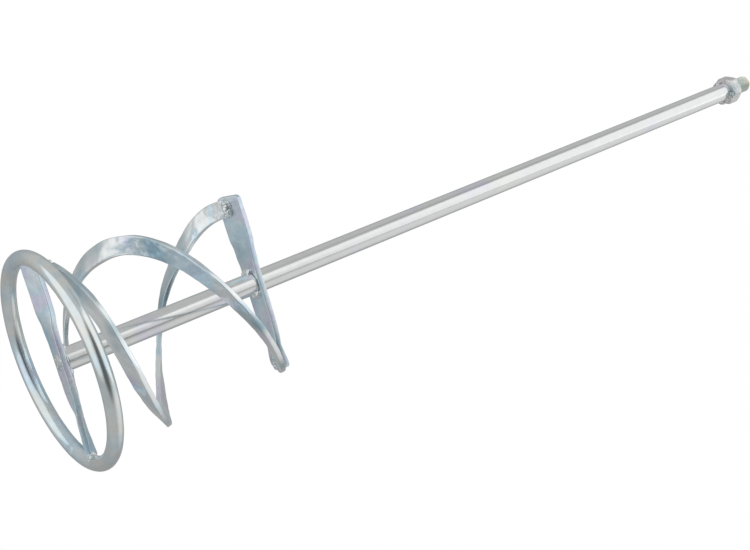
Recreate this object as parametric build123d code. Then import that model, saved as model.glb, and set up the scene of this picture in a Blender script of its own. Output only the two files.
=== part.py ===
"""Mortar mixing paddle: a welded steel stirrer for a hand-held mixing drill.

Millimetres. The shaft runs up +Z and the paddle stands on its ring, with the
origin at the centre of the ring's underside. The bottom cross bar lies along X.
"""

from build123d import *

import os
from math import cos, degrees, pi, radians, sin

# Overall sizes
TOTAL_LENGTH = 600.0
RING_DIAMETER = 130.0
RING_BAR_DIAMETER = 9.0
STIRRING_HEIGHT = 133.8  # middle of the top cross bar above the ground

# Shaft tube
TUBE_DIAMETER = 13.5
TUBE_WALL = 2.25

# Drive end
THREAD_DIAMETER = 12.0
THREAD_PITCH = 1.75
THREAD_LENGTH = 16.5
THREAD_CHAMFER = 1.4
NUT_ACROSS_FLATS = 19.0
NUT_HEIGHT = 9.0
NUT_TURN = 42.0
NUT_CORNER_CHAMFER = 0.8
COUNTERSINK_MARGIN = 0.3  # how far the nut's countersink reaches outside the thread
SPIGOT_LENGTH = 28.0
SPIGOT_CLEARANCE = 0.1
SPIGOT_LAND = 4.0  # the top of the spigot, which fits the bore without clearance

# Cross bars. A twist is (share of the way from the flat middle to the end, degrees about the
# bar's length), for the -X end and then for the +X end.
BOTTOM_BAR_WIDTH = 12.0
BOTTOM_BAR_THICKNESS = 3.5
BOTTOM_BAR_LIFT = 0.8  # middle of the bar above the middle of the ring
BOTTOM_BAR_TWISTS = (
    ((0.0, 0.0), (0.23, -2.5), (0.36, -9.0), (0.5, -22.0), (0.7, -27.5), (1.0, -38.0)),
    ((0.0, 0.0), (0.1, 3.5), (0.22, 7.0), (0.32, 16.5), (0.42, 21.5), (1.0, 22.0)),
)
TOP_BAR_THICKNESS = 3.5
TOP_BAR_TWISTS = (
    ((0.0, 0.0), (0.35, -2.0), (0.53, -5.5), (0.64, -10.0), (0.75, -7.5), (0.88, -2.5), (1.0, -1.0)),
    ((0.0, 0.0), (0.1, 3.5), (0.25, 5.0), (0.36, 11.5), (0.45, 13.0), (1.0, 13.5)),
)
TOP_BAR_TURN = -3.0
TOP_BAR_CORNER = 3.0
TOP_BAR_HOLE_CLEARANCE = 0.35
TOP_BAR_SIDE_WALL = 1.9  # the metal left on each side of the hole for the tube
TOP_BAR_SETBACK = 2.0  # how far its ends stop short of the flights' outer edges
FLAT_HALF_LENGTH = 11.0  # the part of a bar beside the shaft that isn't twisted
BAR_SECTIONS = 9  # cross-sections along each twisted end
PLUG_HOLE_DIAMETER = 8.0

# Flights: one strip wound about the shaft, and a second one half a turn on
STRIP_WIDTH = 11.0
STRIP_THICKNESS = 3.0
FLIGHT_INSET = 8.5  # from the outside of the ring in to the outer edge of a strip
SECTION_STEP = 12.0  # degrees from one cross-section of a strip to the next
SEAT_DEPTH = 0.6  # how far a strip's end is ground into what it is welded to

# Each station is (turn in degrees, share of the climb, extra radius, lean in degrees)
FLIGHT_A = (
    (20.0, 0.0, 3.5, 0.0),
    (36.0, 0.03, 3.0, 3.0),
    (109.0, 0.15, -0.5, 18.0),
    (189.0, 0.41, 1.0, 19.0),
    (269.0, 0.72, -1.0, 13.0),
    (302.0, 0.85, -3.2, 8.0),
    (335.0, 0.955, -3.0, 3.0),
    (355.0, 1.0, -3.5, 0.0),
)
FLIGHT_B = (
    (-170.0, 0.0, 5.0, 6.0),
    (-137.0, 0.09, 3.5, 22.0),
    (-72.0, 0.23, 1.0, 21.0),
    (-8.0, 0.405, -2.5, 16.0),
    (56.0, 0.595, -1.5, 9.0),
    (121.0, 0.83, 0.5, 3.0),
    (173.0, 1.0, -1.0, 0.0),
)

# Welds
BEAD_RADIUS = 2.1
BEAD_SINK = 0.7  # how far a round bead's middle lies outside the corner that it fills
RING_SEAM_GAP = 2.5
RING_SEAM_TURN = 200.0
FOOT_WELD_ARC = 64.0
TOP_WELD_ARC = 76.0
TOP_WELD_TURNS = (-18.0, 162.0)
NUT_WELD_ARC = 80.0
NUT_WELD_TURNS = (132.0, 222.0, 312.0)
PLUG_CROWN_RADIUS = 5.0
PLUG_CROWN_HEIGHT = 0.9
BAR_LUMP_RADIUS = 2.7
RING_LUMP_RADIUS = 3.1
TOP_LUMP = (6.0, 2.4)  # half-length and radius of a long lump
RING_LUMP_AHEAD = 2.6  # past a strip's low end to the middle of its weld
TOP_LUMP_AHEAD = 2.1  # past a strip's high end to the middle of its weld

# Sizes that follow from those above
RING_BAR_RADIUS = RING_BAR_DIAMETER / 2
RING_RADIUS = RING_DIAMETER / 2 - RING_BAR_RADIUS
RING_INNER_RADIUS = RING_RADIUS - RING_BAR_RADIUS
TUBE_RADIUS = TUBE_DIAMETER / 2
BORE_RADIUS = TUBE_RADIUS - TUBE_WALL
THREAD_RADIUS = THREAD_DIAMETER / 2
ENGAGED_RADIUS = THREAD_RADIUS - 3 / 8 * cos(pi / 6) * THREAD_PITCH  # where nut and stud meet
RING_HEIGHT = RING_BAR_RADIUS
FLIGHT_RADIUS = RING_DIAMETER / 2 - FLIGHT_INSET
TOP_BAR_LENGTH = 2 * (FLIGHT_RADIUS - TOP_BAR_SETBACK)
TOP_BAR_WIDTH = TUBE_DIAMETER + 2 * (TOP_BAR_HOLE_CLEARANCE + TOP_BAR_SIDE_WALL)
BAR_HEIGHT = RING_HEIGHT + BOTTOM_BAR_LIFT
FOOT_HEIGHT = BAR_HEIGHT + BOTTOM_BAR_THICKNESS / 2
TOP_BAR_UNDERSIDE = STIRRING_HEIGHT - TOP_BAR_THICKNESS / 2
NUT_TOP = TOTAL_LENGTH - THREAD_LENGTH
NUT_BOTTOM = NUT_TOP - NUT_HEIGHT
STRIP_START = RING_BAR_DIAMETER + STRIP_THICKNESS / 2 - SEAT_DEPTH
STRIP_END = TOP_BAR_UNDERSIDE - STRIP_THICKNESS / 2


def biggest(shape):
    """The largest solid of a cut shape, without its crumbs."""
    return max(shape.solids(), key=lambda solid: solid.volume)


def cut(shape, *tools):
    """The shape with every tool taken away from it."""
    for tool in tools:
        shape = shape - tool
    return biggest(shape)


def blend(stations, column, turn):
    """A table's column at this turn (or share), on a smooth curve through its stations."""
    turns = [row[0] for row in stations]
    values = [row[column] for row in stations]
    last = len(turns) - 1
    span = max(i for i in range(last) if turns[i] <= turn)

    def slope(i):
        low, high = max(i - 1, 0), min(i + 1, last)
        return (values[high] - values[low]) / (turns[high] - turns[low])

    width = turns[span + 1] - turns[span]
    t = (turn - turns[span]) / width
    return (
        values[span] * (1 + 2 * t) * (1 - t) ** 2
        + values[span + 1] * t * t * (3 - 2 * t)
        + slope(span) * width * t * (1 - t) ** 2
        - slope(span + 1) * width * t * t * (1 - t)
    )


def polar(radius, turn, height):
    """The point at this radius and turn about the shaft."""
    return Vector(radius * cos(radians(turn)), radius * sin(radians(turn)), height)


def strip_frame(stations, turn):
    """Middle of the strip, and the unit direction across it, at this turn."""
    height = STRIP_START + (STRIP_END - STRIP_START) * blend(stations, 1, turn)
    radius = FLIGHT_RADIUS + blend(stations, 2, turn)
    lean = radians(blend(stations, 3, turn))
    outward = polar(1, turn, 0)
    across = outward * cos(lean) + Vector(0, 0, sin(lean))
    return polar(radius, turn, height) - across * (STRIP_WIDTH / 2), across


def strip_section(stations, turn):
    """The strip's rectangular cross-section at this turn, square to its run."""
    first, final = stations[0][0], stations[-1][0]
    middle, across = strip_frame(stations, turn)
    ahead, _ = strip_frame(stations, min(turn + 1, final))
    behind, _ = strip_frame(stations, max(turn - 1, first))
    plane = Plane(middle, x_dir=across, z_dir=(ahead - behind).cross(across).cross(across) * -1)
    return plane * Rectangle(STRIP_WIDTH, STRIP_THICKNESS)


def flight(stations):
    """A flat strip wound about the shaft from the ring to the top bar."""
    first, final = stations[0][0], stations[-1][0]
    count = round((final - first) / SECTION_STEP)
    turns = [first + (final - first) * i / count for i in range(count + 1)]
    return loft([strip_section(stations, turn) for turn in turns])


def twisted_bar(length, width, thickness, twists):
    """A flat bar along X whose ends are twisted about its length, the middle left flat."""
    bar = Box(2 * FLAT_HALF_LENGTH, width, thickness)
    reach = length / 2 - FLAT_HALF_LENGTH
    for side, table in zip((-1, 1), twists):
        sections = []
        for number in range(BAR_SECTIONS):
            share = number / (BAR_SECTIONS - 1)
            place = side * (FLAT_HALF_LENGTH + reach * share)
            plane = Plane((place, 0, 0), x_dir=(0, 1, 0), z_dir=(1, 0, 0))
            sections.append(plane * Rot(0, 0, blend(table, 1, share)) * Rectangle(width, thickness))
        bar = bar + loft(sections)
    return bar


def ring_sector(bar_radius, start, arc):
    """Part of the ring, as a round bar bent about the shaft."""
    profile = Plane.XZ * Pos(RING_RADIUS, RING_HEIGHT) * Circle(bar_radius)
    return Rot(0, 0, start) * revolve(profile, Axis.Z, arc)


def full_ring():
    """The whole ring, for cutting what is welded to it."""
    return Pos(0, 0, RING_HEIGHT) * Rot(0, 0, 90) * Torus(RING_RADIUS, RING_BAR_RADIUS)


def bead_around_tube(height, turn, arc):
    """A weld bead that runs part of the way round the tube, its middle at this turn."""
    profile = Plane.XZ * Pos(TUBE_RADIUS + BEAD_SINK, height) * Circle(BEAD_RADIUS)
    return Rot(0, 0, turn - arc / 2) * revolve(profile, Axis.Z, arc)


def lump(centre, size, turn):
    """A long lump of weld metal, pointing away from the shaft at this turn."""
    half_length, radius = size
    upper_half = Pos(0, radius / 2) * Rectangle(2 * half_length, radius)
    return Pos(*centre) * Rot(0, 0, turn) * revolve(Ellipse(*size) & upper_half, Axis.X)


def shaft_tube():
    """Plain tube from the bottom bar to the nut."""
    length = NUT_BOTTOM - FOOT_HEIGHT
    tube = Cylinder(TUBE_RADIUS, length) - Cylinder(BORE_RADIUS, length)
    return Pos(0, 0, FOOT_HEIGHT + length / 2) * tube


def threaded_stud():
    """Free thread above the nut, the thread engaged in it, and a plain spigot in the tube."""
    free = Pos(0, 0, NUT_TOP + THREAD_LENGTH / 2) * Cylinder(THREAD_RADIUS, THREAD_LENGTH)
    tip = free.edges().group_by(Axis.Z)[-1]
    engaged = Pos(0, 0, NUT_BOTTOM + NUT_HEIGHT / 2) * Cylinder(ENGAGED_RADIUS, NUT_HEIGHT)
    spigot_radius = BORE_RADIUS - SPIGOT_CLEARANCE
    spigot = Pos(0, 0, NUT_BOTTOM - SPIGOT_LENGTH / 2) * Cylinder(spigot_radius, SPIGOT_LENGTH)
    land = Pos(0, 0, NUT_BOTTOM - SPIGOT_LAND / 2) * Cylinder(BORE_RADIUS, SPIGOT_LAND)
    return chamfer(tip, THREAD_CHAMFER) + engaged + land + spigot


def drive_nut():
    """Hexagon for the spanner, its corners turned off on both faces."""
    hexagon = RegularPolygon(NUT_ACROSS_FLATS / 2, 6, major_radius=False, rotation=NUT_TURN)
    body = Pos(0, 0, NUT_BOTTOM) * extrude(hexagon, NUT_HEIGHT)
    corner_radius = NUT_ACROSS_FLATS / 2 / cos(pi / 6)
    blank = Pos(0, 0, NUT_BOTTOM + NUT_HEIGHT / 2) * Cylinder(corner_radius, NUT_HEIGHT)
    turned = chamfer(blank.edges().filter_by(GeomType.CIRCLE), NUT_CORNER_CHAMFER)
    bore = Pos(0, 0, NUT_BOTTOM + NUT_HEIGHT / 2) * Cylinder(ENGAGED_RADIUS, NUT_HEIGHT)
    sink_depth = THREAD_RADIUS + COUNTERSINK_MARGIN - ENGAGED_RADIUS
    sink = Cone(ENGAGED_RADIUS, ENGAGED_RADIUS + sink_depth, sink_depth)
    return (body & turned) - bore - Pos(0, 0, NUT_TOP - sink_depth / 2) * sink


def bottom_crossbar():
    """Twisted bar across the inside of the ring, with the plug-weld hole under the tube."""
    length = 2 * (RING_INNER_RADIUS + RING_BAR_RADIUS / 2)
    bar = twisted_bar(length, BOTTOM_BAR_WIDTH, BOTTOM_BAR_THICKNESS, BOTTOM_BAR_TWISTS)
    hole = Cylinder(PLUG_HOLE_DIAMETER / 2, 2 * BOTTOM_BAR_THICKNESS)
    return cut(Pos(0, 0, BAR_HEIGHT) * (bar - hole), full_ring())


def top_crossbar():
    """Twisted bar that the tube passes through, with rounded ends."""
    bar = twisted_bar(TOP_BAR_LENGTH, TOP_BAR_WIDTH, TOP_BAR_THICKNESS, TOP_BAR_TWISTS)
    outline = RectangleRounded(TOP_BAR_LENGTH, TOP_BAR_WIDTH, TOP_BAR_CORNER)
    bar = bar & extrude(outline, TOP_BAR_WIDTH, both=True)
    hole = Cylinder(TUBE_RADIUS + TOP_BAR_HOLE_CLEARANCE, 2 * TOP_BAR_THICKNESS)
    return biggest(Pos(0, 0, STIRRING_HEIGHT) * Rot(0, 0, TOP_BAR_TURN) * (bar - hole))


def foot_plug_weld(bottom, tube):
    """Weld metal that fills the hole under the tube, with a low crown below the bar."""
    fill = Pos(0, 0, BAR_HEIGHT) * Cylinder(PLUG_HOLE_DIAMETER / 2, BOTTOM_BAR_THICKNESS)
    bar_underside = BAR_HEIGHT - BOTTOM_BAR_THICKNESS / 2
    ball_radius = (PLUG_CROWN_RADIUS**2 + PLUG_CROWN_HEIGHT**2) / (2 * PLUG_CROWN_HEIGHT)
    ball = Pos(0, 0, bar_underside - PLUG_CROWN_HEIGHT + ball_radius) * Sphere(ball_radius)
    below = Pos(0, 0, bar_underside - PLUG_CROWN_HEIGHT / 2)
    crown = ball & (below * Cylinder(2 * PLUG_CROWN_RADIUS, PLUG_CROWN_HEIGHT))
    return cut(fill + crown, bottom, tube)


def bar_ring_welds(bottom, ring_all, flights):
    """A lump on each side of each end of the bottom bar, in the corner with the ring."""
    welds = []
    for end, table in zip((-1, 1), BOTTOM_BAR_TWISTS):
        twist = table[-1][1]
        for side in (-1, 1):
            across = side * BOTTOM_BAR_WIDTH / 2 * cos(radians(twist))
            height = BAR_HEIGHT + side * BOTTOM_BAR_WIDTH / 4 * sin(radians(twist))
            centre = (end * (RING_INNER_RADIUS - BAR_LUMP_RADIUS / 3), across, height)
            ball = Pos(*centre) * Rot(90, 0, 0) * Sphere(BAR_LUMP_RADIUS)
            welds.append(cut(ball, bottom, ring_all, *flights))
    return welds


def flight_ring_weld(stations, ring_all, *others):
    """The lump at the low end of a strip, on top of the ring."""
    turn = stations[0][0] - degrees(RING_LUMP_AHEAD / RING_RADIUS)
    centre = polar(RING_RADIUS, turn, RING_BAR_DIAMETER)
    return cut(Pos(*centre) * Sphere(RING_LUMP_RADIUS), ring_all, *others)


def flight_top_weld(stations, top, *others):
    """The lump at the high end of a strip, under the top bar."""
    radius = FLIGHT_RADIUS + stations[-1][2] - STRIP_WIDTH / 2
    turn = stations[-1][0] + degrees(TOP_LUMP_AHEAD / radius)
    centre = polar(radius, turn, STRIP_END)
    return cut(lump(centre, TOP_LUMP, turn), top, *others)


def write(name, shape):
    """One STEP file for one piece."""
    export_step(shape, f"parts/{name}.step")
    print(name, [round(solid.volume, 1) for solid in shape.solids()], shape.is_valid)


def main():
    os.makedirs("parts", exist_ok=True)
    ring_all = full_ring()
    tube = shaft_tube()
    nut = drive_nut()
    bottom = bottom_crossbar()
    top = top_crossbar()
    flight_a = cut(flight(FLIGHT_A), ring_all, bottom, top)
    flight_b = cut(flight(FLIGHT_B), ring_all, bottom, top)
    seam_arc = degrees(RING_SEAM_GAP / RING_RADIUS)
    seam_start = RING_SEAM_TURN - seam_arc / 2
    ring = ring_sector(RING_BAR_RADIUS, seam_start + seam_arc, 360 - seam_arc)
    write("ring", ring)
    write("ring_seam_weld", ring_sector(RING_BAR_RADIUS, seam_start, seam_arc))
    write("shaft_tube", tube)
    write("drive_nut", nut)
    write("threaded_stud", threaded_stud())
    write("bottom_crossbar", bottom)
    write("top_crossbar", top)
    write("flight_a", flight_a)
    write("flight_b", flight_b)
    write("foot_plug_weld", foot_plug_weld(bottom, tube))
    for number, turn in enumerate((0.0, 180.0), 1):
        bead = bead_around_tube(FOOT_HEIGHT + BEAD_SINK, turn, FOOT_WELD_ARC)
        write(f"foot_weld_{number}", cut(bead, tube, bottom))
    for number, turn in enumerate(TOP_WELD_TURNS, 1):
        bead = bead_around_tube(TOP_BAR_UNDERSIDE - BEAD_SINK, turn, TOP_WELD_ARC)
        write(f"top_bar_weld_{number}", cut(bead, tube, top))
    for number, turn in enumerate(NUT_WELD_TURNS, 1):
        bead = bead_around_tube(NUT_BOTTOM - BEAD_SINK, turn, NUT_WELD_ARC)
        write(f"nut_weld_{number}", cut(bead, tube, nut))
    lumps = bar_ring_welds(bottom, ring_all, (flight_a, flight_b))
    for number, shape in enumerate(lumps, 1):
        write(f"bar_ring_weld_{number}", shape)
    write("flight_a_ring_weld", flight_ring_weld(FLIGHT_A, ring_all, flight_a, bottom, *lumps))
    write("flight_b_ring_weld", flight_ring_weld(FLIGHT_B, ring_all, flight_b, bottom, *lumps))
    write("flight_a_top_weld", flight_top_weld(FLIGHT_A, top, flight_a))
    write("flight_b_top_weld", flight_top_weld(FLIGHT_B, top, flight_b))


main()
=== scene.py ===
from math import cos, degrees, pi, radians, sin, sqrt, tan

import bpy
import numpy as np
from mathutils import Matrix, Vector, noise


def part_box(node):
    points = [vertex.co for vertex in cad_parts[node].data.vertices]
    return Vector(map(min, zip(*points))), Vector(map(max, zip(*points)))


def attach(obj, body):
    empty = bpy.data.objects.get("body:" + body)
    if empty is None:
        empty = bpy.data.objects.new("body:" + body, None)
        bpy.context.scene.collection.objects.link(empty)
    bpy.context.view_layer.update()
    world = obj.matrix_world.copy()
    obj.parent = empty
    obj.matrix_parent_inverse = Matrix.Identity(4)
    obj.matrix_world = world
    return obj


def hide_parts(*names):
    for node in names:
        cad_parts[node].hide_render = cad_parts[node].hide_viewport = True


# Mortar mixing paddle: zinc-plated welded steel. Metres, in the frame of the CAD model: the
# shaft runs up +Z, the bottom cross bar lies along X, and the ring stands on Z = 0. A turn is
# an angle about the shaft, and all angles are in degrees until they meet radians().

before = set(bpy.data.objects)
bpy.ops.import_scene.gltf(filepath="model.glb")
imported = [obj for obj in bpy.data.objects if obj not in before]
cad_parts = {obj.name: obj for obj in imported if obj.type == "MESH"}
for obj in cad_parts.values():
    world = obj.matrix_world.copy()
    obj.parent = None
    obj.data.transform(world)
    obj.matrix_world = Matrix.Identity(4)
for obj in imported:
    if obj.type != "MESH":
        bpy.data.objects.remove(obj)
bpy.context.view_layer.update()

MM = 0.001
BODY = "root"

# Sizes that the frame gives
ring_low, ring_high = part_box("ring")
tube_low, tube_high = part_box("shaft_tube")
nut_low, nut_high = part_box("drive_nut")
stud_low, stud_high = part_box("threaded_stud")
top_low, top_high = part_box("top_crossbar")
RING_BAR_RADIUS = (ring_high.z - ring_low.z) / 2
RING_RADIUS = (ring_high.x - ring_low.x) / 2 - RING_BAR_RADIUS
RING_INNER_RADIUS = RING_RADIUS - RING_BAR_RADIUS
RING_HEIGHT = ring_low.z + RING_BAR_RADIUS
TUBE_RADIUS = (tube_high.x - tube_low.x) / 2
STUD_RADIUS = (stud_high.x - stud_low.x) / 2
TOP_BAR_HEIGHT = (top_high.z + top_low.z) / 2

# Sizes that the frame doesn't give. Bars and strips are (width, thickness)
BOTTOM_BAR = (12.0 * MM, 3.5 * MM)
BAR_LIFT = 0.8 * MM  # the bottom bar's middle above the ring's
TOP_BAR = (18.0 * MM, 3.5 * MM)
TOP_TURN = -3.0
TOP_CORNER = 3.0 * MM
TOP_END_INSET = 2.0 * MM  # the top bar's ends inside the flights' outer edge
TOP_HOLE_GAP = 0.35 * MM
FLAT_HALF_LENGTH = 11.0 * MM  # the part of a cross bar that isn't twisted
STRIP = (11.0 * MM, 3.0 * MM)
EDGE_ROUND = 0.45 * MM  # radius of the long edges of bars and strips
FLIGHT_INSET = 8.5 * MM  # the flights' outer edge inside the ring's
SEAT_DEPTH = 0.6 * MM  # how far the strips sink into the ring
TUBE_EDGE = 0.4 * MM
NUT_FLATS = 19.0 * MM
NUT_TURN = 42.0
NUT_CORNER_ROUND = 0.35 * MM
NUT_CHAMFER_START = 0.985  # share of the half width across flats
NUT_CHAMFER_ANGLE = 35
NUT_SHARP_ANGLE = 28  # the nut's edges that bend more than this stay sharp
NUT_BORE_RADIUS = 5.4 * MM
THREAD_PITCH = 1.75 * MM
THREAD_DEPTH = 0.6134 * THREAD_PITCH
THREAD_ROOT_HALF, THREAD_FLANK = 1 / 8, 5 / 16  # shares of the pitch
THREAD_CHAMFER = 1.4 * MM
THREAD_SUNK = 1.0 * MM  # how far the thread runs down into the nut
SEAM_TURN = 200.0
SEAM_HALF_LENGTH = 1.25 * MM
SEAM_CROWN = 0.06 * MM
PLUG_RADIUS = 5.2 * MM
PLUG_CROWN = 0.9 * MM
PLUG_BURIED = 1.5 * MM  # how far the puddle's wall runs up into the bar
PLUG_EDGE = 0.3 * MM  # how far the puddle's edge sits above the bar's underside

BAR_HEIGHT = RING_HEIGHT + BAR_LIFT
FLIGHT_RADIUS = ring_high.x - FLIGHT_INSET
STRIP_START = ring_high.z + STRIP[1] / 2 - SEAT_DEPTH
STRIP_END = TOP_BAR_HEIGHT - TOP_BAR[1] / 2 - STRIP[1] / 2

# Unevenness: (height, length) of its waves, and for dents also what is added to the seed
STRIP_BOW = (0.15 * MM, 22 * MM)
STRIP_EDGE = (0.22 * MM, 13 * MM)
STRIP_DENTS = ((0.10 * MM, 5 * MM, 9), (0.04 * MM, 2.2 * MM, 0), (0.18 * MM, 13 * MM, 4))
BAR_EDGE = (0.2 * MM, 12 * MM)
BAR_DENTS = ((0.07 * MM, 5 * MM, 9),)
RING_BAR_WEAR = (0.03 * MM, 9 * MM)
SEAM_WAVE = (0.03 * MM, 0.6)  # its length is in degrees
PLUG_WAVE = (0.12 * MM, 2.2 * MM)
PLUG_RIM_WAVE = (0.08, 0.5)  # a share of the radius, along a circle of radius 1

# Weld beads: ripples and pits are shares of the bead's radius, grit is a share of its lumps
RIPPLE, RIPPLE_LENGTH = 0.03, 1.6 * MM
LUMP_LENGTH = 2.2 * MM
GRIT, GRIT_LENGTH = 0.2, 0.9 * MM
PIT, PIT_LENGTH, PIT_FROM = 0.8, 1.5 * MM, 0.5
PLUG_PIT, PLUG_PIT_FROM = 1.1 * MM, 0.35
TAPER_POWER, TAPER_END = 6, 0.02  # how late a bead narrows, and the square of its share at its end
BEAD_SINK = 0.7 * MM  # a bead's middle past the corner that it fills

# How finely the meshes are cut
AROUND_SHAFT = 96
AROUND_RING_BAR, RING_ROWS, SEAM_ROWS = 48, 420, 24
AROUND_NUT = 240
AROUND_BEAD = 32
AROUND_PLUG, PLUG_ROWS = 72, 26
TUBE_ROWS = 60
CORNER_STEP = 30
STRIP_COLUMNS, BAR_COLUMNS = 14, 16
STRIP_STEP = 0.8
BOTTOM_BAR_ROWS, TOP_BAR_ROWS = 180, 240
THREAD_STEP = 0.11 * MM

# Each station is (turn in degrees, share of the climb, extra radius in mm, lean in degrees)
FLIGHT_A = (
    (20.0, 0.0, 3.5, 0.0),
    (36.0, 0.03, 3.0, 3.0),
    (109.0, 0.15, -0.5, 18.0),
    (189.0, 0.41, 1.0, 19.0),
    (269.0, 0.72, -1.0, 13.0),
    (302.0, 0.85, -3.2, 8.0),
    (335.0, 0.955, -3.0, 3.0),
    (355.0, 1.0, -3.5, 0.0),
)
FLIGHT_B = (
    (-170.0, 0.0, 5.0, 6.0),
    (-137.0, 0.09, 3.5, 22.0),
    (-72.0, 0.23, 1.0, 21.0),
    (-8.0, 0.405, -2.5, 16.0),
    (56.0, 0.595, -1.5, 9.0),
    (121.0, 0.83, 0.5, 3.0),
    (173.0, 1.0, -1.0, 0.0),
)

# Each twist is (share of the way from the bar's flat middle to its end, degrees), for -X and +X
BOTTOM_TWISTS = (
    ((0.0, 0.0), (0.23, -2.5), (0.36, -9.0), (0.5, -22.0), (0.7, -27.5), (1.0, -38.0)),
    ((0.0, 0.0), (0.1, 3.5), (0.22, 7.0), (0.32, 16.5), (0.42, 21.5), (1.0, 22.0)),
)
TOP_TWISTS = (
    (
        (0.0, 0.0), (0.35, -2.0), (0.53, -5.5), (0.64, -10.0),
        (0.75, -7.5), (0.88, -2.5), (1.0, -1.0),
    ),
    ((0.0, 0.0), (0.1, 3.5), (0.25, 5.0), (0.36, 11.5), (0.45, 13.0), (1.0, 13.5)),
)


# ---------------------------------------------------------------- camera, light and floor

CAMERA_PLACE = Vector((0.16826, 0.68629, -0.22564))
CAMERA_RIGHT = Vector((-0.24695, 0.57456, 0.78032))
CAMERA_UP = Vector((0.94126, -0.04918, 0.33410))
CAMERA_BACK = CAMERA_RIGHT.cross(CAMERA_UP)
CAMERA_LENS, SENSOR_WIDTH = 63.03, 36.0
NEAREST, FARTHEST = 0.01, 100.0
ROOM_LIGHT = 0.53
FLOOR_RADIUS, FLOOR_SIDES = 60.0, 96
FLOOR_DROP = 0.5 * MM
FLOOR_PAPER = 0.9
FLOOR_GLOW = 0.36
SOFTBOX_DISTANCE = 2.0

# Softboxes: (side, up, back) from the camera, half angles across and up, radiance
SOFTBOXES = {
    "softbox_right": ((0.89, 0.41, 0.18), (34, 29), 0.45),
    "softbox_left": ((-0.64, 0.14, 0.76), (45, 41), 0.38),
}

# Parts of the room that differ: (side, up, back) from the camera, the cosines off that direction
# where the difference starts and is full, and the factor there
ROOM_LOBES = (
    ((0.44, -0.12, 0.88), 0.68, 0.94, 0.26),
    ((-0.20, -0.20, -0.95), 0.30, 0.95, 0.72),
    ((0.0, -1.0, 0.0), 0.10, 0.80, 0.86),
    ((0.45, 0.89, 0.0), 0.955, 0.995, 0.80),
    ((0.85, -0.45, -0.30), 0.72, 0.97, 1.48),
)


def make_camera():
    """The camera stands beside the ring, a little below it, and looks along the shaft."""
    data = bpy.data.cameras.new("camera")
    data.lens, data.sensor_width = CAMERA_LENS, SENSOR_WIDTH
    data.clip_start, data.clip_end = NEAREST, FARTHEST
    camera = bpy.data.objects.new("camera", data)
    bpy.context.scene.collection.objects.link(camera)
    turn = Matrix((CAMERA_RIGHT, CAMERA_UP, CAMERA_BACK)).transposed()
    camera.matrix_world = Matrix.Translation(CAMERA_PLACE) @ turn.to_4x4()
    bpy.context.scene.camera = camera


def from_camera(side, up, back):
    """The row-frame direction with these parts along the camera's right, up and back."""
    return (CAMERA_RIGHT * side + CAMERA_UP * up + CAMERA_BACK * back).normalized()


def softbox(name, direction, half_angles, radiance):
    """A rectangular softbox that faces the paddle, and spans these half angles from it."""
    width, height = (2 * SOFTBOX_DISTANCE * tan(radians(angle)) for angle in half_angles)
    light = bpy.data.lights.new(name, "AREA")
    light.shape, light.size, light.size_y = "RECTANGLE", width, height
    light.energy = radiance * pi * width * height
    box = bpy.data.objects.new(name, light)
    bpy.context.scene.collection.objects.link(box)
    side = CAMERA_UP.cross(direction).normalized()
    turn = Matrix((side, direction.cross(side), direction)).transposed()
    middle = Vector((0, 0, TOP_BAR_HEIGHT))
    box.matrix_world = Matrix.Translation(middle + direction * SOFTBOX_DISTANCE) @ turn.to_4x4()
    box.visible_camera = False


def map_range(tree, source, values):
    """A node that takes a socket's value from one range to another, and holds it there."""
    node = tree.nodes.new("ShaderNodeMapRange")
    for name, value in zip(("From Min", "From Max", "To Min", "To Max"), values):
        node.inputs[name].default_value = value
    tree.links.new(source, node.inputs["Value"])
    return node


def shaded_lobe(tree, direction, start, full, factor):
    """A factor that goes smoothly from 1 to another, from one cosine off a direction to another."""
    place = tree.nodes.new("ShaderNodeTexCoord")
    lobe = tree.nodes.new("ShaderNodeVectorMath")
    lobe.operation = "DOT_PRODUCT"
    lobe.inputs[1].default_value = from_camera(*direction)
    tree.links.new(place.outputs["Generated"], lobe.inputs[0])
    shade = map_range(tree, lobe.outputs["Value"], (start, full, 1.0, factor))
    shade.interpolation_type = "SMOOTHSTEP"
    return shade.outputs["Result"]


def make_world():
    """A mid-grey room, darker and lighter in places, that the camera itself sees as white."""
    world = bpy.data.worlds.new("studio")
    bpy.context.scene.world = world
    world.use_nodes = True
    tree = world.node_tree
    tree.nodes.clear()
    room = tree.nodes.new("ShaderNodeBackground")
    room.inputs["Strength"].default_value = ROOM_LIGHT
    shades = [shaded_lobe(tree, *lobe) for lobe in ROOM_LOBES]
    while len(shades) > 1:
        shades[:2] = [multiply(tree, *shades[:2])]
    tree.links.new(shades[0], room.inputs["Color"])
    white = tree.nodes.new("ShaderNodeBackground")
    white.inputs["Color"].default_value = (1, 1, 1, 1)
    path = tree.nodes.new("ShaderNodeLightPath")
    mix = tree.nodes.new("ShaderNodeMixShader")
    out = tree.nodes.new("ShaderNodeOutputWorld")
    tree.links.new(path.outputs["Is Camera Ray"], mix.inputs["Fac"])
    tree.links.new(room.outputs["Background"], mix.inputs[1])
    tree.links.new(white.outputs["Background"], mix.inputs[2])
    tree.links.new(mix.outputs["Shader"], out.inputs["Surface"])


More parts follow.
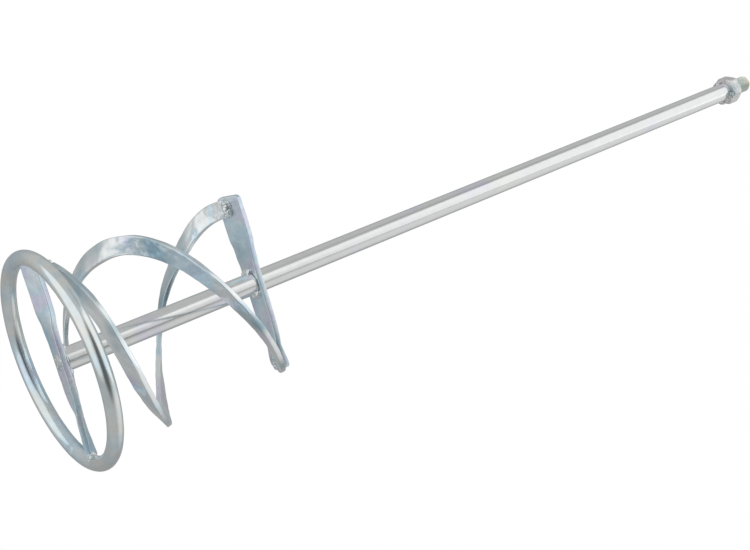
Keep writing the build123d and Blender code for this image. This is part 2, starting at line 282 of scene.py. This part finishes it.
def make_floor():
    """A pale floor under the ring, seen from above and clear from below."""
    mesh = bpy.data.meshes.new("floor")
    angles = [2 * pi * i / FLOOR_SIDES for i in range(FLOOR_SIDES)]
    corners = [(FLOOR_RADIUS * cos(a), FLOOR_RADIUS * sin(a), 0) for a in angles]
    mesh.from_pydata(corners, [], [tuple(range(FLOOR_SIDES))])
    floor = bpy.data.objects.new("floor", mesh)
    floor.location.z = -FLOOR_DROP
    bpy.context.scene.collection.objects.link(floor)
    material = bpy.data.materials.new("floor_paper")
    material.use_nodes = True
    tree = material.node_tree
    tree.nodes.clear()
    paper = tree.nodes.new("ShaderNodeBsdfDiffuse")
    paper.inputs["Color"].default_value = (FLOOR_PAPER, FLOOR_PAPER, FLOOR_PAPER, 1)
    glow = tree.nodes.new("ShaderNodeEmission")
    glow.inputs["Strength"].default_value = FLOOR_GLOW
    lit = tree.nodes.new("ShaderNodeAddShader")
    clear = tree.nodes.new("ShaderNodeBsdfTransparent")
    side = tree.nodes.new("ShaderNodeNewGeometry")
    mix = tree.nodes.new("ShaderNodeMixShader")
    out = tree.nodes.new("ShaderNodeOutputMaterial")
    tree.links.new(side.outputs["Backfacing"], mix.inputs["Fac"])
    tree.links.new(paper.outputs["BSDF"], lit.inputs[0])
    tree.links.new(glow.outputs["Emission"], lit.inputs[1])
    tree.links.new(lit.outputs["Shader"], mix.inputs[1])
    tree.links.new(clear.outputs["BSDF"], mix.inputs[2])
    tree.links.new(mix.outputs["Shader"], out.inputs["Surface"])
    mesh.materials.append(material)
    for ray in ("diffuse", "glossy", "transmission", "volume_scatter", "shadow"):
        setattr(floor, "visible_" + ray, False)


# ---------------------------------------------------------------- materials


def ramp(tree, stops, source):
    """A colour ramp through these (place, colour) stops, fed by a socket."""
    node = tree.nodes.new("ShaderNodeValToRGB")
    elements = node.color_ramp.elements
    while len(elements) < len(stops):
        elements.new(0.5)
    for element, (place, colour) in zip(elements, stops):
        element.position = place
        element.color = (*colour, 1)
    tree.links.new(source, node.inputs["Fac"])
    return node.outputs["Color"]


def grain(tree, source, scale, stretch=(1, 1, 1), detail=3.0, offset=0.0):
    """Noise in the piece's own space, stretched by these factors."""
    mapping = tree.nodes.new("ShaderNodeMapping")
    mapping.inputs["Scale"].default_value = stretch
    mapping.inputs["Location"].default_value = (offset, offset, offset)
    tree.links.new(source, mapping.inputs["Vector"])
    node = tree.nodes.new("ShaderNodeTexNoise")
    node.inputs["Scale"].default_value = scale
    node.inputs["Detail"].default_value = detail
    tree.links.new(mapping.outputs["Vector"], node.inputs["Vector"])
    return node.outputs["Fac"]


def multiply(tree, first, second):
    """One colour multiplied by another."""
    node = tree.nodes.new("ShaderNodeMix")
    node.data_type, node.blend_type = "RGBA", "MULTIPLY"
    node.inputs[0].default_value = 1.0
    tree.links.new(first, node.inputs[6])
    tree.links.new(second, node.inputs[7])
    return node.outputs[2]


# The tints run over the middle of the noise, and speckles and stains over their own part of it
NOISE_LOW, NOISE_HIGH = 0.3, 0.7
SPECKLE_LOW, SPECKLE_HIGH, SPECKLE_FINER = 0.3, 0.65, 9
STAIN_LOW, STAIN_HIGH, STAIN_FINER = 0.34, 0.50, 0.8
STAIN_TINT = (0.85, 1.0, 1.05)
ALONG_RUN, ALONG_SHAFT, EVEN = (0.02, 1, 1), (1, 1, 0.01), (1, 1, 1)
BUMP_HEIGHT = 0.2 * MM


def zinc(name, tints, patch, rough, bump, bump_scale, dim, stain, streak=None):
    """Zinc plate: tinted patches, darker stains, streaks or grain in the gloss, fine bumps."""
    material = bpy.data.materials.new(name)
    material.use_nodes = True
    tree = material.node_tree
    shader = tree.nodes["Principled BSDF"]
    shader.inputs["Metallic"].default_value = 1.0
    place = tree.nodes.new("ShaderNodeTexCoord")
    own = place.outputs["Object"]
    along = place.outputs["UV"] if streak == "uv" else own
    stretch = {"uv": ALONG_RUN, "shaft": ALONG_SHAFT}.get(streak, EVEN)
    steps = np.linspace(NOISE_LOW, NOISE_HIGH, len(tints))
    colour = ramp(tree, list(zip(steps, tints)), grain(tree, own, patch))
    speckle = grain(tree, own, patch * SPECKLE_FINER, offset=3.0)
    stops = ((SPECKLE_LOW, (dim,) * 3), (SPECKLE_HIGH, (1, 1, 1)))
    colour = multiply(tree, colour, ramp(tree, stops, speckle))
    if stain:
        cloud = grain(tree, own, patch * STAIN_FINER, detail=1.5, offset=7.0)
        dark = [(1 - stain) * channel for channel in STAIN_TINT]
        stops = ((STAIN_LOW, dark), (STAIN_HIGH, (1, 1, 1)))
        colour = multiply(tree, colour, ramp(tree, stops, cloud))
    tree.links.new(colour, shader.inputs["Base Color"])
    fine = grain(tree, along, bump_scale, stretch, detail=4.0, offset=1.0)
    gloss = map_range(tree, fine, (NOISE_LOW, NOISE_HIGH, *rough))
    tree.links.new(gloss.outputs["Result"], shader.inputs["Roughness"])
    relief = tree.nodes.new("ShaderNodeBump")
    relief.inputs["Strength"].default_value = bump
    relief.inputs["Distance"].default_value = BUMP_HEIGHT
    tree.links.new(fine, relief.inputs["Height"])
    tree.links.new(relief.outputs["Normal"], shader.inputs["Normal"])
    return material


SILVER = (0.86, 0.88, 0.87)
WARM = (0.88, 0.90, 0.87)
BLUE = (0.70, 0.86, 0.96)
TEAL = (0.66, 0.90, 0.94)
LILAC = (0.80, 0.80, 0.95)
STEEL = (0.79, 0.90, 0.95)
PALE = (0.93, 0.97, 0.98)
ROSE = (0.86, 0.81, 0.80)

IVORY = (1.0, 0.95, 0.82)
CREAM = (1.0, 0.97, 0.88)

TUBE_ZINC = zinc(
    "tube_zinc", (LILAC, SILVER, SILVER, WARM), patch=25, rough=(0.15, 0.22),
    bump=0.05, bump_scale=900, dim=0.96, stain=0.0, streak="shaft",
)
RING_ZINC = zinc(
    "ring_zinc", (LILAC, BLUE, STEEL, WARM, STEEL, BLUE), patch=22, rough=(0.14, 0.24),
    bump=0.06, bump_scale=500, dim=0.92, stain=0.25, streak="uv",
)
STRIP_ZINC = zinc(
    "strip_zinc", (STEEL, BLUE, PALE, PALE, LILAC), patch=40, rough=(0.15, 0.28),
    bump=0.3, bump_scale=260, dim=0.98, stain=0.32, streak="uv",
)
BAR_ZINC = zinc(
    "bar_zinc", (TEAL, LILAC, STEEL, BLUE, LILAC), patch=45, rough=(0.34, 0.46),
    bump=0.12, bump_scale=300, dim=0.9, stain=0.12, streak="uv",
)
WELD_ZINC = zinc(
    "weld_zinc", (STEEL, SILVER, PALE, WARM), patch=120, rough=(0.18, 0.32),
    bump=0.08, bump_scale=900, dim=0.95, stain=0.3,
)
NUT_ZINC = zinc(
    "nut_zinc", (ROSE, SILVER, ROSE), patch=90, rough=(0.28, 0.42),
    bump=0.1, bump_scale=700, dim=0.75, stain=0.25,
)
STUD_ZINC = zinc(
    "stud_zinc", (IVORY, CREAM), patch=120, rough=(0.24, 0.36),
    bump=0.08, bump_scale=800, dim=0.86, stain=0.1,
)


# ---------------------------------------------------------------- mesh work


def add_piece(name, vertices, faces, uvs, material, slot, *nodes):
    """A smooth-shaded mesh that stands for these CAD nodes."""
    mesh = bpy.data.meshes.new(name)
    mesh.from_pydata([tuple(v) for v in vertices], [], faces)
    mesh.validate()
    layer = mesh.uv_layers.new(name="run")
    for loop in mesh.loops:
        layer.data[loop.index].uv = uvs[loop.vertex_index]
    mesh.materials.append(material)
    mesh.shade_smooth()
    piece = bpy.data.objects.new(name, mesh)
    bpy.context.scene.collection.objects.link(piece)
    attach(piece, BODY)
    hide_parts(*nodes)
    return piece


def skin(sections):
    """Vertices, faces and run-and-girth coordinates of a bar through these sections."""
    sections = np.asarray(sections, float)
    count, around = sections.shape[:2]
    vertices = sections.reshape(-1, 3)
    faces = []
    for i in range(count - 1):
        for j in range(around):
            here, there, step = i * around, (i + 1) * around, (j + 1) % around
            faces.append((here + j, here + step, there + step, there + j))
    faces.append(tuple(range(around))[::-1])
    faces.append(tuple(range((count - 1) * around, count * around)))
    middles = sections.mean(1)
    run = np.concatenate([[0], np.cumsum(np.linalg.norm(np.diff(middles, axis=0), axis=1))])
    edge = np.linalg.norm(np.roll(sections[0], -1, 0) - sections[0], axis=1)
    girth = np.concatenate([[0], np.cumsum(edge[:-1])])
    uvs = [(u, v) for u in run for v in girth]
    return vertices, faces, uvs


def rounded_profile(width, thickness, columns):
    """Points round a rounded rectangle, anticlockwise, with columns along its broad sides."""
    half_w, half_t = width / 2 - EDGE_ROUND, thickness / 2 - EDGE_ROUND
    points = []
    for quarter, (x, y) in enumerate(((1, 1), (-1, 1), (-1, -1), (1, -1))):
        for step in range(90 // CORNER_STEP + 1):
            angle = radians(90 * quarter + CORNER_STEP * step)
            out, up = EDGE_ROUND * cos(angle), EDGE_ROUND * sin(angle)
            points.append((x * half_w + out, y * half_t + up))
        if quarter % 2 == 0:
            for k in range(1, columns):
                points.append((x * half_w * (1 - 2 * k / columns), y * thickness / 2))
    return np.array(points)


WAVE_GAIN = 1.6  # takes the noise to about -1 to 1
SEED_STEP = (1.0, 1.7, 0.3)  # how far one step of the seed moves the noise


def wave(place, size, seed):
    """Smooth noise of about -1 to 1, with features of this size."""
    shift = Vector([seed * step for step in SEED_STEP])
    return noise.noise(Vector(place) / size + shift) * WAVE_GAIN


def blend(stations, column, turn):
    """A station table's column at this turn, on a smooth curve through the stations."""
    turns = [row[0] for row in stations]
    values = [row[column] for row in stations]
    last = len(turns) - 1
    span = max(i for i in range(last) if turns[i] <= turn)

    def slope(i):
        low, high = max(i - 1, 0), min(i + 1, last)
        return (values[high] - values[low]) / (turns[high] - turns[low])

    width = turns[span + 1] - turns[span]
    t = (turn - turns[span]) / width
    return (
        values[span] * (1 + 2 * t) * (1 - t) ** 2
        + values[span + 1] * t * t * (3 - 2 * t)
        + slope(span) * width * t * (1 - t) ** 2
        - slope(span + 1) * width * t * t * (1 - t)
    )


def polar(radius, turn, height):
    """The point at this radius and turn about the shaft."""
    return Vector((radius * cos(radians(turn)), radius * sin(radians(turn)), height))


def strip_frame(stations, turn):
    """Middle of the strip, and the unit direction across it, at this turn."""
    height = STRIP_START + (STRIP_END - STRIP_START) * blend(stations, 1, turn)
    radius = FLIGHT_RADIUS + blend(stations, 2, turn) * MM
    lean = radians(blend(stations, 3, turn))
    across = polar(1, turn, 0) * cos(lean) + Vector((0, 0, sin(lean)))
    return polar(radius, turn, height) - across * (STRIP[0] / 2), across


def flat_section(profile, width, axes, unevenness, seed):
    """One section of a flat bar or strip, with uneven edges and dented faces.

    The axes are its middle and the directions across it and square to it."""
    middle, across, normal = axes
    (height, length), dents = unevenness
    row = []
    for a, b in profile:
        edge = height * wave(middle, length, seed + (2 if a > 0 else 5)) * abs(a) / width * 2
        point = middle + across * (a + edge) + normal * b
        dent = sum(deep * wave(point, size, seed + shift) for deep, size, shift in dents)
        row.append(point + normal * (dent if b > 0 else -dent))
    return row


def make_flight(name, stations, node, seed):
    """A flat strip wound about the shaft, with uneven edges and hammered faces."""
    first, final = stations[0][0], stations[-1][0]
    profile = rounded_profile(*STRIP, STRIP_COLUMNS)
    bow, bow_length = STRIP_BOW
    sections = []
    for turn in np.linspace(first, final, int((final - first) / STRIP_STEP)):
        middle, across = strip_frame(stations, turn)
        ahead, _ = strip_frame(stations, min(turn + 1, final))
        behind, _ = strip_frame(stations, max(turn - 1, first))
        normal = (ahead - behind).cross(across).normalized()
        middle = middle + normal * (bow * wave(middle, bow_length, seed))
        axes = (middle, across, normal)
        sections.append(flat_section(profile, STRIP[0], axes, (STRIP_EDGE, STRIP_DENTS), seed))
    add_piece(name, *skin(sections), STRIP_ZINC, "strip_zinc", node)


def twisted_bar(length, size, twists, seed, rows):
    """Sections of a flat bar along X whose ends are twisted, the middle left flat."""
    profile = rounded_profile(*size, BAR_COLUMNS)
    half = length / 2
    sections = []
    for x in np.linspace(-half, half, rows):
        share = max(abs(x) - FLAT_HALF_LENGTH, 0) / (half - FLAT_HALF_LENGTH)
        twist = radians(blend(twists[0] if x < 0 else twists[1], 1, min(share, 1.0)))
        across = Vector((0, cos(twist), sin(twist)))
        normal = Vector((0, -sin(twist), cos(twist)))
        axes = (Vector((x, 0, 0)), across, normal)
        sections.append(flat_section(profile, size[0], axes, (BAR_EDGE, BAR_DENTS), seed))
    return np.array(sections)


def lifted(sections, turn, height):
    """Sections turned about the shaft and lifted to their height."""
    c, s = cos(radians(turn)), sin(radians(turn))
    spin = np.array(((c, -s, 0), (s, c, 0), (0, 0, 1)))
    return sections @ spin.T + np.array((0, 0, height))


def rounded_ends(sections, width, corner):
    """Narrows a bar's last sections, so that its ends have round corners."""
    end = abs(sections[..., 0]).max()
    inner = end - corner
    for section in sections:
        past = max(abs(section[:, 0].mean()) - inner, 0)
        keep = width / 2 - corner + sqrt(max(corner**2 - past**2, 0))
        section[:, 1:] *= keep / (width / 2)
    return sections


def drill_hole(piece, radius, height):
    """Cuts a round hole about the shaft's axis through a piece."""
    half_depth = 12 * MM
    ends = [(radius, height - half_depth), (radius, height + half_depth)]
    vertices, faces, _ = skin(turned(ends))
    mesh = bpy.data.meshes.new("drill")
    mesh.from_pydata([tuple(v) for v in vertices], [], faces)
    drill = bpy.data.objects.new("drill", mesh)
    bpy.context.scene.collection.objects.link(drill)
    cutter = piece.modifiers.new("hole", "BOOLEAN")
    cutter.operation, cutter.solver, cutter.object = "DIFFERENCE", "EXACT", drill
    shown = piece.evaluated_get(bpy.context.evaluated_depsgraph_get())
    piece.data = bpy.data.meshes.new_from_object(shown)
    piece.modifiers.clear()
    bpy.data.objects.remove(drill)


def make_bars():
    """The two flat cross bars."""
    length = 2 * (RING_INNER_RADIUS + RING_BAR_RADIUS / 2)
    sections = twisted_bar(length, BOTTOM_BAR, BOTTOM_TWISTS, 3.0, BOTTOM_BAR_ROWS)
    mesh = skin(lifted(sections, 0, BAR_HEIGHT))
    add_piece("bottom_crossbar_steel", *mesh, BAR_ZINC, "strip_zinc", "bottom_crossbar")
    length = 2 * (FLIGHT_RADIUS - TOP_END_INSET)
    sections = twisted_bar(length, TOP_BAR, TOP_TWISTS, 6.0, TOP_BAR_ROWS)
    sections = rounded_ends(sections, TOP_BAR[0], TOP_CORNER)
    mesh = skin(lifted(sections, TOP_TURN, TOP_BAR_HEIGHT))
    bar = add_piece("top_crossbar_steel", *mesh, BAR_ZINC, "strip_zinc", "top_crossbar")
    drill_hole(bar, TUBE_RADIUS + TOP_HOLE_GAP, TOP_BAR_HEIGHT)


def bent_round_bar(start, stop, rows, radius_at):
    """Sections of the ring's round bar, from one turn to another."""
    angles = np.linspace(0, 2 * pi, AROUND_RING_BAR, endpoint=False)
    sections = []
    for turn in np.linspace(start, stop, rows):
        radius = radius_at(turn)
        out = polar(1, turn, 0)
        middle = out * RING_RADIUS + Vector((0, 0, RING_HEIGHT))
        sections.append(
            [middle + out * (radius * cos(a)) + Vector((0, 0, radius * sin(a))) for a in angles]
        )
    return sections


def make_ring():
    """The ring's bent bar, and the ground butt weld that closes it."""
    seam = degrees(SEAM_HALF_LENGTH / RING_RADIUS)

    def bar_radius(turn):
        height, length = RING_BAR_WEAR
        return RING_BAR_RADIUS - height * (1 + wave(polar(RING_RADIUS, turn, 0), length, 2.0))

    bar = bent_round_bar(SEAM_TURN + seam, SEAM_TURN + 360 - seam, RING_ROWS, bar_radius)
    add_piece("ring_bar", *skin(bar), RING_ZINC, "ring_zinc", "ring")

    def crown(turn):
        height, length = SEAM_WAVE
        off = (turn - SEAM_TURN) / (2 * seam)
        rise = SEAM_CROWN * (1 - off * off)
        return RING_BAR_RADIUS + rise + height * wave((turn, 0, 0), length, 4.0)

    bead = bent_round_bar(SEAM_TURN - 2 * seam, SEAM_TURN + 2 * seam, SEAM_ROWS, crown)
    add_piece("ring_seam_bead", *skin(bead), RING_ZINC, "weld_metal", "ring_seam_weld")


def turned(rings):
    """Sections of a round piece about the shaft's axis, from (radius, height) pairs."""
    turns = [360 * j / AROUND_SHAFT for j in range(AROUND_SHAFT)]
    return [[polar(r, turn, z) for turn in turns] for r, z in rings]


def make_tube():
    """The shaft's plain tube, with its edge broken at both ends."""
    low, high = tube_low.z, tube_high.z
    rings = [(TUBE_RADIUS - TUBE_EDGE, low), (TUBE_RADIUS, low + TUBE_EDGE)]
    heights = np.linspace(low + 2 * TUBE_EDGE, high - 2 * TUBE_EDGE, TUBE_ROWS)
    rings += [(TUBE_RADIUS, z) for z in heights]
    rings += [(TUBE_RADIUS, high - TUBE_EDGE), (TUBE_RADIUS - TUBE_EDGE, high)]
    add_piece("shaft_tube_steel", *skin(turned(rings)), TUBE_ZINC, "tube_zinc", "shaft_tube")


def hexagon_radius(turn):
    """Distance from the axis to the nut's side, its corners slightly rounded."""
    off = (turn - NUT_TURN) % 60
    off = off if off <= 30 else 60 - off
    corner = NUT_FLATS / 2 / cos(radians(30)) - NUT_CORNER_ROUND
    return min(NUT_FLATS / 2 / cos(radians(30 - off)), corner)


def make_nut():
    """The hexagon, its corners turned off on both faces."""
    turns = [360 * j / AROUND_NUT for j in range(AROUND_NUT)]
    cone_start = NUT_FLATS / 2 * NUT_CHAMFER_START
    slope = tan(radians(NUT_CHAMFER_ANGLE))
    face_shares = (0, 0.5, 0.8, 0.9, 0.96, 0.985, 1)
    side_shares = (0.03, 0.2, 0.4, 0.6, 0.8, 0.97)

    def ring_at(height, share, face):
        row = []
        for turn in turns:
            radius = NUT_BORE_RADIUS + (hexagon_radius(turn) - NUT_BORE_RADIUS) * share
            drop = max(radius - cone_start, 0) * slope
            row.append(polar(radius, turn, height - face * drop))
        return row

    sections = [ring_at(nut_low.z, share, -1) for share in face_shares]
    lower, upper = ring_at(nut_low.z, 1, -1), ring_at(nut_high.z, 1, 1)
    sections += [[a.lerp(b, share) for a, b in zip(lower, upper)] for share in side_shares]
    sections += [ring_at(nut_high.z, share, 1) for share in reversed(face_shares)]
    nut = add_piece("drive_nut_steel", *skin(sections), NUT_ZINC, "nut_zinc", "drive_nut")
    nut.data.set_sharp_from_angle(angle=radians(NUT_SHARP_ANGLE))


def make_stud():
    """The free thread: a true helical ridge, cut back to a cone at the tip."""
    low, high = nut_high.z - THREAD_SUNK, stud_high.z

    def thread_radius(turn, z):
        phase = ((z - low) / THREAD_PITCH - turn / 360) % 1
        from_root = 0.5 - abs(phase - 0.5)
        rise = min(max((from_root - THREAD_ROOT_HALF) / THREAD_FLANK, 0), 1)
        radius = STUD_RADIUS - THREAD_DEPTH * (1 - rise)
        return min(radius, STUD_RADIUS - max(z - (high - THREAD_CHAMFER), 0))

    turns = [360 * j / AROUND_SHAFT for j in range(AROUND_SHAFT)]
    sections = []
    for z in np.arange(low, high, THREAD_STEP):
        sections.append([polar(thread_radius(turn, z), turn, z) for turn in turns])
    tip = STUD_RADIUS - THREAD_CHAMFER
    sections += turned([(tip * share, high) for share in (1, 0.6, 0.2)])
    add_piece("threaded_stud_steel", *skin(sections), STUD_ZINC, "stud_zinc", "threaded_stud")


# ---------------------------------------------------------------- welds


def weld(name, node, path, radius, seed, rough=0.16, material=WELD_ZINC):
    """A bead of weld metal along a path: rippled, lumpy, tapered at its ends and pitted."""
    path = [Vector(p) for p in path]
    length = sum((b - a).length for a, b in zip(path, path[1:]))
    angles = [2 * pi * j / AROUND_BEAD for j in range(AROUND_BEAD)]
    sections, run = [], 0.0
    side = None
    for i, middle in enumerate(path):
        if i:
            run += (middle - path[i - 1]).length
        heading = (path[min(i + 1, len(path) - 1)] - path[max(i - 1, 0)]).normalized()
        side = heading.orthogonal() if side is None else side - heading * side.dot(heading)
        side.normalize()
        lift = heading.cross(side)
        off = abs(2 * run / length - 1)
        taper = sqrt(max(1 - off**TAPER_POWER, TAPER_END))
        size = radius * taper * (1 + RIPPLE * sin(2 * pi * run / RIPPLE_LENGTH))
        row = []
        for a in angles:
            way = side * cos(a) + lift * sin(a)
            point = middle + way * size
            bump = rough * wave(point, LUMP_LENGTH, seed)
            bump += rough * GRIT * wave(point, GRIT_LENGTH, seed + 3)
            pit = max(wave(point, PIT_LENGTH, seed + 8) - PIT_FROM, 0) * PIT
            row.append(point + way * radius * (bump - pit))
        sections.append(row)
    add_piece(name, *skin(sections), material, "weld_metal", node)


def arc_path(radius, height, turn, arc, rows=48):
    """Points along an arc about the shaft, this turn in its middle."""
    return [polar(radius, t, height) for t in np.linspace(turn - arc / 2, turn + arc / 2, rows)]


def line_path(start, stop, rows=28):
    """Points along a straight line."""
    start, stop = Vector(start), Vector(stop)
    return [start.lerp(stop, share) for share in np.linspace(0, 1, rows)]


# Beads round the tube: height, arc, first seed, material, and each bead's (turn, radius in mm)
UNDER_TOP_BAR = TOP_BAR_HEIGHT - TOP_BAR[1] / 2
NUT_BEADS = ((132, 2.5), (222, 2.9), (312, 2.0))
SHAFT_BEADS = {
    "foot": (tube_low.z + BEAD_SINK, 64, 11.0, WELD_ZINC, ((0, 1.9), (180, 1.9))),
    "top_bar": (UNDER_TOP_BAR - BEAD_SINK, 76, 21.0, WELD_ZINC, ((-18, 2.1), (162, 2.1))),
    "nut": (nut_low.z - BEAD_SINK, 84, 31.0, NUT_ZINC, NUT_BEADS),
}


def make_shaft_welds():
    """Beads round the tube: at its foot, under the top bar and under the nut."""
    for kind, (height, arc, seed, material, beads) in SHAFT_BEADS.items():
        for number, (turn, radius) in enumerate(beads, 1):
            node = f"{kind}_weld_{number}"
            path = arc_path(TUBE_RADIUS + BEAD_SINK, height, turn, arc)
            weld(node + "_bead", node, path, radius * MM, seed + number, material=material)


def make_plug_weld():
    """The puddle of weld metal that fills the hole under the tube."""
    edge = BAR_HEIGHT - BOTTOM_BAR[1] / 2 + PLUG_EDGE
    rim, rim_length = PLUG_RIM_WAVE
    height, length = PLUG_WAVE
    sections = []
    for share in np.linspace(1, 0.02, PLUG_ROWS):
        row = []
        for turn in (360 * j / AROUND_PLUG for j in range(AROUND_PLUG)):
            radius = PLUG_RADIUS * share * (1 + rim * wave(polar(1, turn, 0), rim_length, 3.0))
            point = polar(radius, turn, edge - (PLUG_EDGE + PLUG_CROWN * (1 - share**2.5)))
            pit = max(wave(point, PIT_LENGTH, 5.0) - PLUG_PIT_FROM, 0) * PLUG_PIT
            row.append(point + Vector((0, 0, height * wave(point, length, 8.0) + pit)))
        sections.append(row)
    sections.insert(0, [p + Vector((0, 0, PLUG_BURIED)) for p in sections[0]])
    add_piece("foot_plug_puddle", *skin(sections), WELD_ZINC, "weld_metal", "foot_plug_weld")


def make_bar_ring_welds():
    """Lumps in the corners between the bottom bar's ends and the ring."""
    width, _ = BOTTOM_BAR
    inset, reach, radius = 0.9 * MM, 0.8 * MM, 2.5 * MM
    inner_share, outer_share = 0.75, 1.2
    number = 0
    for end, table in zip((-1, 1), BOTTOM_TWISTS):
        twist = radians(table[-1][1])
        for side in (-1, 1):
            number += 1
            node = f"bar_ring_weld_{number}"
            across = side * width / 2 * cos(twist)
            height = BAR_HEIGHT + side * width / 4 * sin(twist)
            x = end * (RING_INNER_RADIUS - inset)
            start = (x, across * inner_share, height)
            path = line_path(start, (x + end * reach, across * outer_share, height))
            weld(node + "_lump", node, path, radius, 40.0 + number, rough=0.2)


# Lumps at a strip's two ends: turn past the end, how far in and out they reach, radius
RING_LUMP = (-1.5, 3 * MM, 1 * MM, 2.2 * MM)
TOP_LUMP = (2.0, 5 * MM, 5 * MM, 2.5 * MM)
RING_LUMP_SINK = 0.4 * MM


def flight_lump(node, turn, height, middle, lump, seed):
    """A lump of weld along a line away from the shaft, at a strip's end."""
    past, inward, outward, radius = lump
    start = polar(middle - inward, turn + past, height)
    path = line_path(start, polar(middle + outward, turn + past, height))
    weld(node + "_lump", node, path, radius, seed)


def make_flight_welds():
    """Lumps at the strips' ends, on the ring and under the top bar."""
    for letter, stations, seed in (("a", FLIGHT_A, 51.0), ("b", FLIGHT_B, 57.0)):
        node = f"flight_{letter}_ring_weld"
        height = ring_high.z - RING_LUMP_SINK
        flight_lump(node, stations[0][0], height, RING_RADIUS, RING_LUMP, seed)
        node = f"flight_{letter}_top_weld"
        middle = FLIGHT_RADIUS + stations[-1][2] * MM - STRIP[0] / 2
        flight_lump(node, stations[-1][0], STRIP_END, middle, TOP_LUMP, seed + 3)


make_camera()
for box_name, (box_direction, box_half_angles, box_radiance) in SOFTBOXES.items():
    softbox(box_name, from_camera(*box_direction), box_half_angles, box_radiance)
make_world()
make_floor()
make_ring()
make_tube()
make_nut()
make_stud()
make_bars()
make_flight("flight_a_steel", FLIGHT_A, "flight_a", 1.0)
make_flight("flight_b_steel", FLIGHT_B, "flight_b", 4.0)
make_shaft_welds()
make_plug_weld()
make_bar_ring_welds()
make_flight_welds()

bpy.context.scene.view_settings.view_transform = "Standard"
